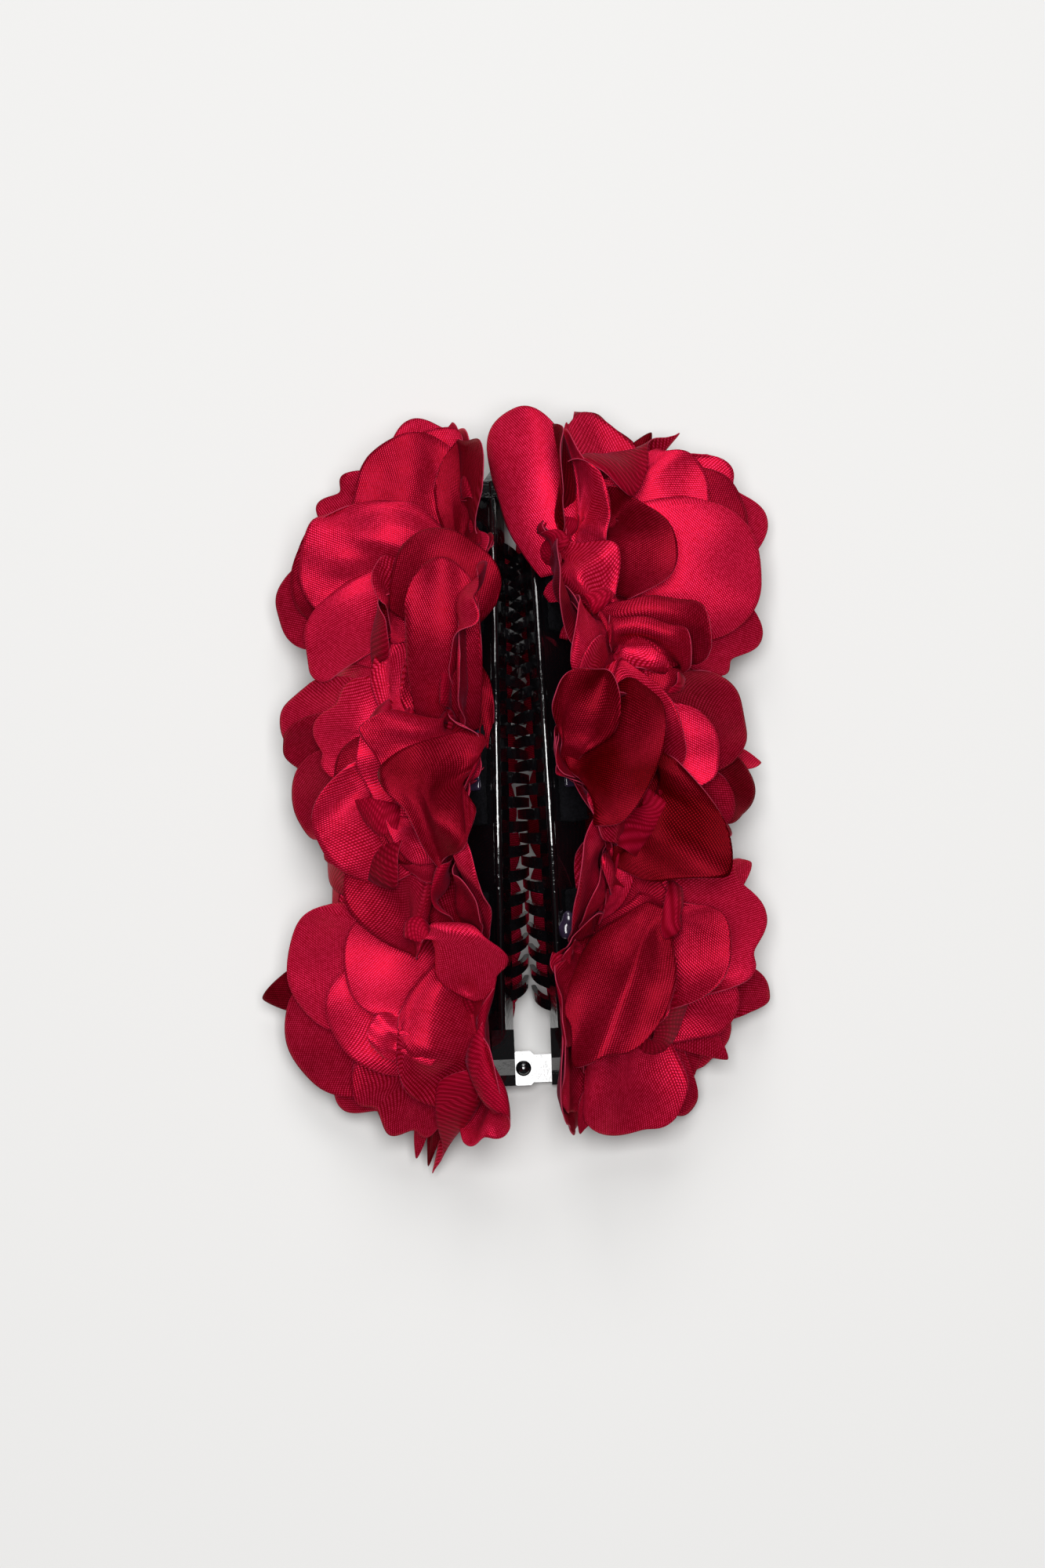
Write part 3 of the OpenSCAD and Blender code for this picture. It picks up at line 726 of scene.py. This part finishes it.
def satin_material(name, face, rim=False):
    material, tree, shader = node_material(name)
    flat = add(tree, "ShaderNodeAttribute", attribute_name="flat").outputs["Vector"]
    tone_and_shade = add(tree, "ShaderNodeAttribute", attribute_name="tone_and_shade").outputs["Fac"]
    weave = weave_height(tree, flat)
    slub = noise_of(tree, flat, 1500.0, 3.0)
    broad = noise_of(tree, flat, 90.0)
    # Painted light and shade: the petal's tone, partly random and partly set by how it is lit, mixes the
    # shaded colours towards the lit ones, with a broad noise.
    light_and_tone_mix = maths(tree, "ADD", maths(tree, "MULTIPLY", tone_and_shade, 1.45), maths(tree, "MULTIPLY", broad, 0.5))
    light_and_tone_mix = maths(tree, "SUBTRACT", light_and_tone_mix, 0.33)
    shaded_ground, lit_ground, shaded_thread_sheen, lit_thread_sheen = SATIN[face]
    ground = mix_colour(tree, light_and_tone_mix, shaded_ground, lit_ground)
    thread = mix_colour(tree, light_and_tone_mix, shaded_thread_sheen, lit_thread_sheen)
    # Painted sheen: the threads' brighter colour shows along the weave's floats, scaled by slub noise.
    share = maths(tree, "MULTIPLY", weave, maths(tree, "MULTIPLY", slub, 1.9))
    base = mix_colour(tree, share, ground, thread)
    # Painted highlight on the cut edges.
    if rim:
        base = mix_colour(tree, 0.6, base, CUT_EDGE_HIGHLIGHT)
    link(tree, base, shader.inputs["Base Color"])
    front = face == "front"
    shader.inputs["Metallic"].default_value = 0.42 if front else 0.12
    shader.inputs["Specular IOR Level"].default_value = 0.12
    shader.inputs["Specular Tint"].default_value = (1.0, 0.16, 0.28, 1)
    shader.inputs["Sheen Weight"].default_value = 0.02 if front else 0.08
    shader.inputs["Sheen Roughness"].default_value = 0.35
    shader.inputs["Sheen Tint"].default_value = (1.0, 0.2, 0.4, 1)
    rough = maths(tree, "ADD", maths(tree, "MULTIPLY", slub, 0.18), 0.27 if front else 0.5)
    link(tree, rough, shader.inputs["Roughness"])
    bumped(tree, shader, weave, 0.55, 0.00007)
    return material


def plastic_material(name, dark, light, roughness):
    """Glossy moulded black, with faint flow marks and a fine skin."""
    material, tree, shader = node_material(name)
    place = add(tree, "ShaderNodeTexCoord").outputs["Object"]
    flow = noise_of(tree, place, 230.0, 3.0)
    link(tree, mix_colour(tree, flow, dark, light), shader.inputs["Base Color"])
    rough = maths(tree, "ADD", maths(tree, "MULTIPLY", flow, 0.10), roughness)
    link(tree, rough, shader.inputs["Roughness"])
    shader.inputs["Specular IOR Level"].default_value = 0.5
    shader.inputs["Coat Weight"].default_value = 1.0
    shader.inputs["Coat Roughness"].default_value = 0.03
    shader.inputs["Coat IOR"].default_value = 1.75
    skin = maths(tree, "ADD", flow, maths(tree, "MULTIPLY", noise_of(tree, place, 1300.0), 0.25))
    bumped(tree, shader, skin, 0.5, 0.0009)
    return material


def felt_material():
    material, tree, shader = node_material("black_felt")
    place = add(tree, "ShaderNodeTexCoord").outputs["Object"]
    nap = noise_of(tree, place, 2200.0, 4.0)
    base = mix_colour(tree, nap, (0.0012, 0.0012, 0.0016, 1), (0.009, 0.0085, 0.011, 1))
    link(tree, base, shader.inputs["Base Color"])
    shader.inputs["Roughness"].default_value = 0.95
    shader.inputs["Specular IOR Level"].default_value = 0.06
    shader.inputs["Sheen Weight"].default_value = 0.01
    bumped(tree, shader, nap, 0.8, 0.0002)
    return material


def glue_material():
    """Hot glue: cloudy, glossy, and dark where the felt and the satin show through it."""
    material, tree, shader = node_material("hot_glue")
    place = add(tree, "ShaderNodeTexCoord").outputs["Object"]
    cloud = noise_of(tree, place, 420.0, 3.0)
    base = mix_colour(tree, cloud, (0.004, 0.002, 0.007, 1), (0.05, 0.034, 0.075, 1))
    link(tree, base, shader.inputs["Base Color"])
    link(tree, maths(tree, "ADD", maths(tree, "MULTIPLY", cloud, 0.2), 0.08), shader.inputs["Roughness"])
    shader.inputs["Specular IOR Level"].default_value = 0.6
    shader.inputs["Coat Weight"].default_value = 0.7
    shader.inputs["Coat Roughness"].default_value = 0.08
    bumped(tree, shader, cloud, 0.3, 0.0004)
    return material


def thread_material():
    material, tree, shader = node_material("red_thread")
    place = add(tree, "ShaderNodeTexCoord").outputs["Object"]
    strands = noise_of(tree, place, 5200.0, 2.0)
    base = mix_colour(tree, strands, (0.16, 0.001, 0.012, 1), (0.46, 0.012, 0.06, 1))
    link(tree, base, shader.inputs["Base Color"])
    shader.inputs["Roughness"].default_value = 0.55
    shader.inputs["Sheen Weight"].default_value = 0.2
    bumped(tree, shader, strands, 0.6, 0.00005)
    return material


# ---------------------------------------------------------------- building


def mesh_object(name, verts, faces, materials, body):
    mesh = bpy.data.meshes.new(name)
    mesh.from_pydata([tuple(v) for v in verts], [], faces)
    for m in materials:
        mesh.materials.append(m)
    mesh.polygons.foreach_set("use_smooth", [True] * len(mesh.polygons))
    obj = bpy.data.objects.new(name, mesh)
    bpy.context.scene.collection.objects.link(obj)
    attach(obj, body)
    return obj


def place_on_cloth(petal):
    """For each vertex, the place on the cloth that the petal is cut from, in metres."""
    turn = math.radians(petal.shape["weave"])
    c, s = math.cos(turn), math.sin(turn)
    x, y = (petal.flat.reshape(-1, 2) * MM).T
    shift = petal.phases[:3] * CLOTH_SHIFT
    return np.stack([c * x - s * y + shift[0], s * x + c * y + shift[1], np.full(len(x), shift[2])], -1)


def petal_layer(side, place, layer, petals, materials):
    """One piece: the petals of a layer, with thickness, their weave and their tone, which paints light and
    shade into their colour.
    """
    verts, faces, flat, tone_and_shade = [], [], [], []
    for petal in petals:
        base = len(verts)
        verts.extend((petal.points * MM).reshape(-1, 3))
        flat.extend(place_on_cloth(petal))
        # Painted light and shade: each petal's tone goes to all its vertices.
        tone_and_shade.extend([petal.shape["tone_and_shade"]] * (ROWS * COLS))
        index = base + np.arange(ROWS * COLS).reshape(ROWS, COLS)
        quads = np.stack([index[:-1, :-1], index[1:, :-1], index[1:, 1:], index[:-1, 1:]], -1)
        faces.extend(quads.reshape(-1, 4).tolist())
    name = f"{side}_{place}_{layer}_petals_satin"
    obj = mesh_object(name, verts, faces, materials, f"{side}_half")
    attribute = obj.data.attributes.new("flat", "FLOAT_VECTOR", "POINT")
    attribute.data.foreach_set("vector", np.asarray(flat, np.float32).ravel())
    attribute = obj.data.attributes.new("tone_and_shade", "FLOAT", "POINT")
    attribute.data.foreach_set("value", np.asarray(tone_and_shade, np.float32))
    subdivision = obj.modifiers.new("smooth", "SUBSURF")
    subdivision.levels = subdivision.render_levels = 1
    thickness = obj.modifiers.new("cloth", "SOLIDIFY")
    thickness.thickness = CLOTH_T * MM
    thickness.offset = 0
    thickness.material_offset = 1
    thickness.material_offset_rim = 2
    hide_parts(f"{side}_{place}_flower_{layer}_petals")
    area = sum(p.area() for p in petals)


def build_flowers():
    """All petals, settled comb by comb and shared out over the layers."""
    materials = [satin_material("burgundy_satin", "front"), satin_material("burgundy_satin_back", "back"),
                 satin_material("satin_cut_edge_highlight", "back", rim=True)]
    for side in SIDES:
        made = {place: flower(side, place) for place in PLACES}
        filling = [p for place in STACK[side] for p in made[place][1]]
        placed = [p for place in STACK[side] for p in made[place][2]]
        settle(filling + placed, side)
        for place in PLACES:
            petals = sum(made[place], [])
            cuts = np.linspace(0, len(petals), len(LAYERS) + 1).astype(int)
            for layer, a, b in zip(LAYERS, cuts[:-1], cuts[1:]):
                petal_layer(side, place, layer, petals[a:b], materials)


# Radius that moulding leaves on the combs' edges.
EDGE_R = 0.16


def rounded(node):
    """Rounds the sharp edges of a CAD piece, so that they catch the light."""
    bevel = node.modifiers.new("moulded_edges", "BEVEL")
    bevel.width = EDGE_R * MM
    bevel.segments = 2
    bevel.limit_method = "ANGLE"
    bevel.angle_limit = math.radians(38)
    bevel.miter_outer = "MITER_ARC"
    normals = node.modifiers.new("flat_faces", "WEIGHTED_NORMAL")
    normals.keep_sharp = False


def dress_combs():
    """Gives the combs and the rivet, which keep their CAD meshes, materials and rounded edges."""
    plastic = plastic_material(
        "black_plastic", (0.0016, 0.0014, 0.0018, 1), (0.0034, 0.003, 0.004, 1), 0.05)
    enamel = plastic_material("black_enamel", (0.003, 0.003, 0.0035, 1), (0.006, 0.006, 0.007, 1), 0.02)
    for name, material in (("left_comb", plastic), ("right_comb", plastic), ("hinge_pin", enamel)):
        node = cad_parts[name]
        node.data.materials.clear()
        node.data.materials.append(material)
        rounded(node)


# ---------------------------------------------------------------- pads, glue and stitches

def fused(verts, faces, voxel, rounds):
    """One closed skin round everything in the mesh, smoothed: its points, faces and normals."""
    mesh = bpy.data.meshes.new("fused")
    mesh.from_pydata([tuple(v) for v in verts], [], faces)
    obj = bpy.data.objects.new("fused", mesh)
    bpy.context.scene.collection.objects.link(obj)
    remesh = obj.modifiers.new("remesh", "REMESH")
    remesh.mode = "VOXEL"
    remesh.voxel_size = voxel
    if rounds:
        soft = obj.modifiers.new("soft", "SMOOTH")
        soft.factor, soft.iterations = 0.5, rounds
    graph = bpy.context.evaluated_depsgraph_get()
    skin = bpy.data.meshes.new_from_object(obj.evaluated_get(graph))
    points = np.zeros(len(skin.vertices) * 3)
    normals = np.zeros(len(skin.vertices) * 3)
    skin.vertices.foreach_get("co", points)
    skin.vertices.foreach_get("normal", normals)
    polygons = [tuple(p.vertices) for p in skin.polygons]
    bpy.data.objects.remove(obj)
    bpy.data.meshes.remove(skin)
    return points.reshape(-1, 3), polygons, normals.reshape(-1, 3)


def cad_mesh(node):
    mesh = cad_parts[node].data
    return [tuple(v.co) for v in mesh.vertices], [tuple(p.vertices) for p in mesh.polygons]


def bumpy(points, normals, height, pitch):
    """Points moved along their normals by soft noise."""
    lift = [noise.noise(Vector(p) / pitch) for p in points]
    return points + normals * np.asarray(lift)[:, None] * height


# Steps along a fibre, and the sides of its section.
FIBRE_STEPS = 4
FIBRE_SIDES = 3


def fibres(points, normals, count, length, radius):
    """Bent hairs that stand out of a surface: their points and faces."""
    pick = rng.integers(0, len(points), count)
    base, n = points[pick], normals[pick]
    lean = np.cross(n, rng.normal(size=(count, 3)))
    lean /= np.linalg.norm(lean, axis=1, keepdims=True)
    aside = np.cross(n, lean)
    reach = length * rng.uniform(0.35, 1.0, (count, 1))
    rise = rng.uniform(0.15, 0.8, (count, 1))
    bend = rng.uniform(-0.5, 0.5, (count, 1))
    rings = []
    for k in range(FIBRE_STEPS):
        t = k / (FIBRE_STEPS - 1)
        bent = lean * t + n * rise * (t - 0.55 * t * t) + aside * bend * t * t
        centre = base + reach * bent - n * radius
        for j in range(FIBRE_SIDES):
            a = 2 * math.pi * j / FIBRE_SIDES
            rings.append(centre + radius * (1 - 0.6 * t) * (math.cos(a) * aside + math.sin(a) * n))
    verts = np.stack(rings, 1).reshape(-1, 3)
    per = FIBRE_STEPS * FIBRE_SIDES
    one = []
    for k in range(FIBRE_STEPS - 1):
        for j in range(FIBRE_SIDES):
            a, b = k * FIBRE_SIDES + j, k * FIBRE_SIDES + (j + 1) % FIBRE_SIDES
            one.append((a, b, b + FIBRE_SIDES, a + FIBRE_SIDES))
    caps = [(2, 1, 0), (per - 3, per - 2, per - 1)]
    faces = [tuple(i * per + v for v in f) for i in range(count) for f in one + caps]
    return verts, faces


# Fibres on a pad.
FIBRES = 1800


def felt_pad(side, place, material):
    """The pad with its uneven skin and the fibres that stand out of it."""
    node = f"{side}_{place}_felt_pad"
    points, faces, normals = fused(*cad_mesh(node), voxel=0.34 * MM, rounds=5)
    points = bumpy(points, normals, 0.22 * MM, 0.9 * MM)
    count = FIBRES
    hairs, hair_faces = fibres(points, normals, count, 1.5 * MM, 0.028 * MM)
    start = len(points)
    faces = faces + [tuple(v + start for v in f) for f in hair_faces]
    pad = mesh_object(f"{side}_{place}_felt", np.vstack([points, hairs]), faces, [material],
                      f"{side}_half")
    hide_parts(node)


def ball(centre, radii, steps=14):
    """Points and faces of an ellipsoid."""
    verts, faces = [], []
    for i in range(steps + 1):
        for j in range(2 * steps):
            a, b = math.pi * i / steps, math.pi * j / steps
            verts.append(tuple(centre + np.array(radii) * (
                math.sin(a) * math.cos(b), math.sin(a) * math.sin(b), math.cos(a))))
    for i in range(steps):
        for j in range(2 * steps):
            k = (j + 1) % (2 * steps)
            here, below = i * 2 * steps, (i + 1) * 2 * steps
            faces.append((here + j, below + j, below + k, here + k))
    return verts, faces


# Squeezed-out glue: along the comb and towards the gap from the flower's seat, and its size.
SQUEEZE = {("right", "hinge"): [(3.6, 3.4, 1.1), (5.2, 3.2, 1.4), (6.8, 2.7, 1.0)]}
HIDDEN_SQUEEZE = [(-4.0, 0.6, 1.0), (-1.0, 1.2, 0.9), (3.0, 0.9, 1.0)]


def hot_glue(side, place, material):
    """The glue bed with the beads that squeezed out along its edge."""
    node = f"{side}_{place}_glue"
    verts, faces = cad_mesh(node)
    seat, axis = seat_of(side, place)
    outward, latch = flower_frame(axis)
    for along, inward, size in SQUEEZE.get((side, place), HIDDEN_SQUEEZE):
        size = size * rng.uniform(0.8, 1.25)
        centre = (seat + latch * (along + rng.uniform(-0.8, 0.8)) - outward * inward - axis * 0.7) * MM
        more, more_faces = ball(centre, np.array([size, size * 1.3, size * 0.75]) * MM)
        faces = faces + [tuple(v + len(verts) for v in f) for f in more_faces]
        verts = verts + more
    points, polygons, normals = fused(verts, faces, voxel=0.26 * MM, rounds=8)
    points = bumpy(points, normals, 0.2 * MM, 1.8 * MM)
    blob = mesh_object(f"{side}_{place}_hot_glue", points, polygons, [material], f"{side}_half")
    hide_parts(node)


def closed_tube(path, radius, sides=6):
    """Round tube along a closed path: its points and faces."""
    path = np.asarray(path)
    n = len(path)
    along = np.roll(path, -1, 0) - np.roll(path, 1, 0)
    along /= np.linalg.norm(along, axis=1, keepdims=True)
    spare = unit(path.mean(0) * 0.37 + (0.3, 0.5, 0.8))
    across = np.cross(along, spare)
    across /= np.linalg.norm(across, axis=1, keepdims=True)
    other = np.cross(along, across)
    turns = 2 * math.pi * np.arange(sides) / sides
    verts = (path[:, None] + radius * (np.cos(turns)[None, :, None] * across[:, None]
                                       + np.sin(turns)[None, :, None] * other[:, None]))
    faces = [(i * sides + j, ((i + 1) % n) * sides + j, ((i + 1) % n) * sides + (j + 1) % sides,
              i * sides + (j + 1) % sides) for i in range(n) for j in range(sides)]
    return verts.reshape(-1, 3), faces


# The gathering thread: stitches round each flower's centre, two plies to the thread.
STITCHES = 7
THREAD_R = 0.13
STITCH_POINTS = 72
STITCH_TWISTS = 12


def stitches(side, place, material):
    """The knot of two-ply loops that gathers the petals."""
    seat, axis = seat_of(side, place)
    outward, latch = flower_frame(axis)
    t = 2 * math.pi * np.arange(STITCH_POINTS) / STITCH_POINTS
    verts, faces = [], []
    for i in range(STITCHES):
        turn = math.pi * i / STITCHES + rng.uniform(-0.15, 0.15)
        level = math.cos(turn) * outward + math.sin(turn) * latch
        beside = np.cross(axis, level)
        wide, high, off = rng.uniform(1.7, 2.2), rng.uniform(0.6, 0.8), rng.uniform(-0.5, 0.5)
        loop = (seat + axis * 0.75 + beside * off + np.outer(np.cos(t) * wide, level)
                + np.outer(np.sin(t) * high, axis))
        out = loop - loop.mean(0)
        out /= np.linalg.norm(out, axis=1, keepdims=True)
        for ply in (0, math.pi):
            twist = STITCH_TWISTS * t + ply
            path = loop + THREAD_R * (np.cos(twist)[:, None] * out + np.sin(twist)[:, None] * beside)
            more, more_faces = closed_tube(path * MM, THREAD_R * MM)
            faces += [tuple(v + len(verts) for v in f) for f in more_faces]
            verts += list(more)
    obj = mesh_object(f"{side}_{place}_stitches_thread", verts, faces, [material], f"{side}_half")
    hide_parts(f"{side}_{place}_flower_stitches")


def build_fixings():
    felt, glue, thread = felt_material(), glue_material(), thread_material()
    for side in SIDES:
        for place in PLACES:
            felt_pad(side, place, felt)
            hot_glue(side, place, glue)
            stitches(side, place, thread)


# ---------------------------------------------------------------- studio

# World light; then each soft light's place, side and power.
WORLD_LIGHT = 0.05
SOFT_LIGHTS = {
    "overhead_softbox": ((0.0, 0.0, 1.2), 0.62, 12.8),
    "back_softbox": ((0.0, 1.1, 1.1), 0.8, 8.2),
}
FLOOR_HALF = 3.0
FLOOR_COLOUR = (0.80, 0.795, 0.785, 1)
# Where the lights and the camera point.
AIM = Vector((0, 0, 0.02))
# Degrees above the floor and round from the hinge end, distance in metres, lens in millimetres.
CAMERA_ELEVATION = 84.0
CAMERA_AZIMUTH = 2.25
CAMERA_DISTANCE = 0.806
CAMERA_LENS = 100


def studio():
    scene = bpy.context.scene
    world = bpy.data.worlds.new("studio")
    scene.world = world
    world.use_nodes = True
    background = world.node_tree.nodes["Background"]
    background.inputs["Color"].default_value = (1, 1, 1, 1)
    background.inputs["Strength"].default_value = WORLD_LIGHT
    floor()
    for name, (place, size, power) in SOFT_LIGHTS.items():
        soft_light(name, place, size, power)
    scene.view_settings.view_transform = "Standard"
    camera()


def floor():
    mesh = bpy.data.meshes.new("floor")
    r = FLOOR_HALF
    mesh.from_pydata([(-r, -r, 0), (r, -r, 0), (r, r, 0), (-r, r, 0)], [], [(0, 1, 2, 3)])
    obj = bpy.data.objects.new("floor", mesh)
    bpy.context.scene.collection.objects.link(obj)
    material, _, shader = node_material("paper_floor")
    shader.inputs["Base Color"].default_value = FLOOR_COLOUR
    shader.inputs["Roughness"].default_value = 0.9
    shader.inputs["Specular IOR Level"].default_value = 0.1
    mesh.materials.append(material)


def soft_light(name, place, size, power):
    light = bpy.data.lights.new(name, "AREA")
    light.shape = "SQUARE"
    light.size = size
    light.energy = power
    obj = bpy.data.objects.new(name, light)
    obj.location = place
    obj.rotation_mode = "QUATERNION"
    obj.rotation_quaternion = (AIM - Vector(place)).to_track_quat("-Z", "Y")
    bpy.context.scene.collection.objects.link(obj)


def camera():
    data = bpy.data.cameras.new("camera")
    data.lens = CAMERA_LENS
    data.sensor_width = 36
    data.clip_start, data.clip_end = 0.05, 20
    obj = bpy.data.objects.new("camera", data)
    bpy.context.scene.collection.objects.link(obj)
    bpy.context.scene.camera = obj
    up, turn = math.radians(CAMERA_ELEVATION), math.radians(CAMERA_AZIMUTH)
    level = Vector((-math.sin(turn), -math.cos(turn), 0))
    back = level * math.cos(up) + Vector((0, 0, math.sin(up)))
    obj.location = AIM + back * CAMERA_DISTANCE
    obj.rotation_mode = "QUATERNION"
    obj.rotation_quaternion = (-back).to_track_quat("-Z", "Y")


studio()
dress_combs()
build_fixings()
build_flowers()
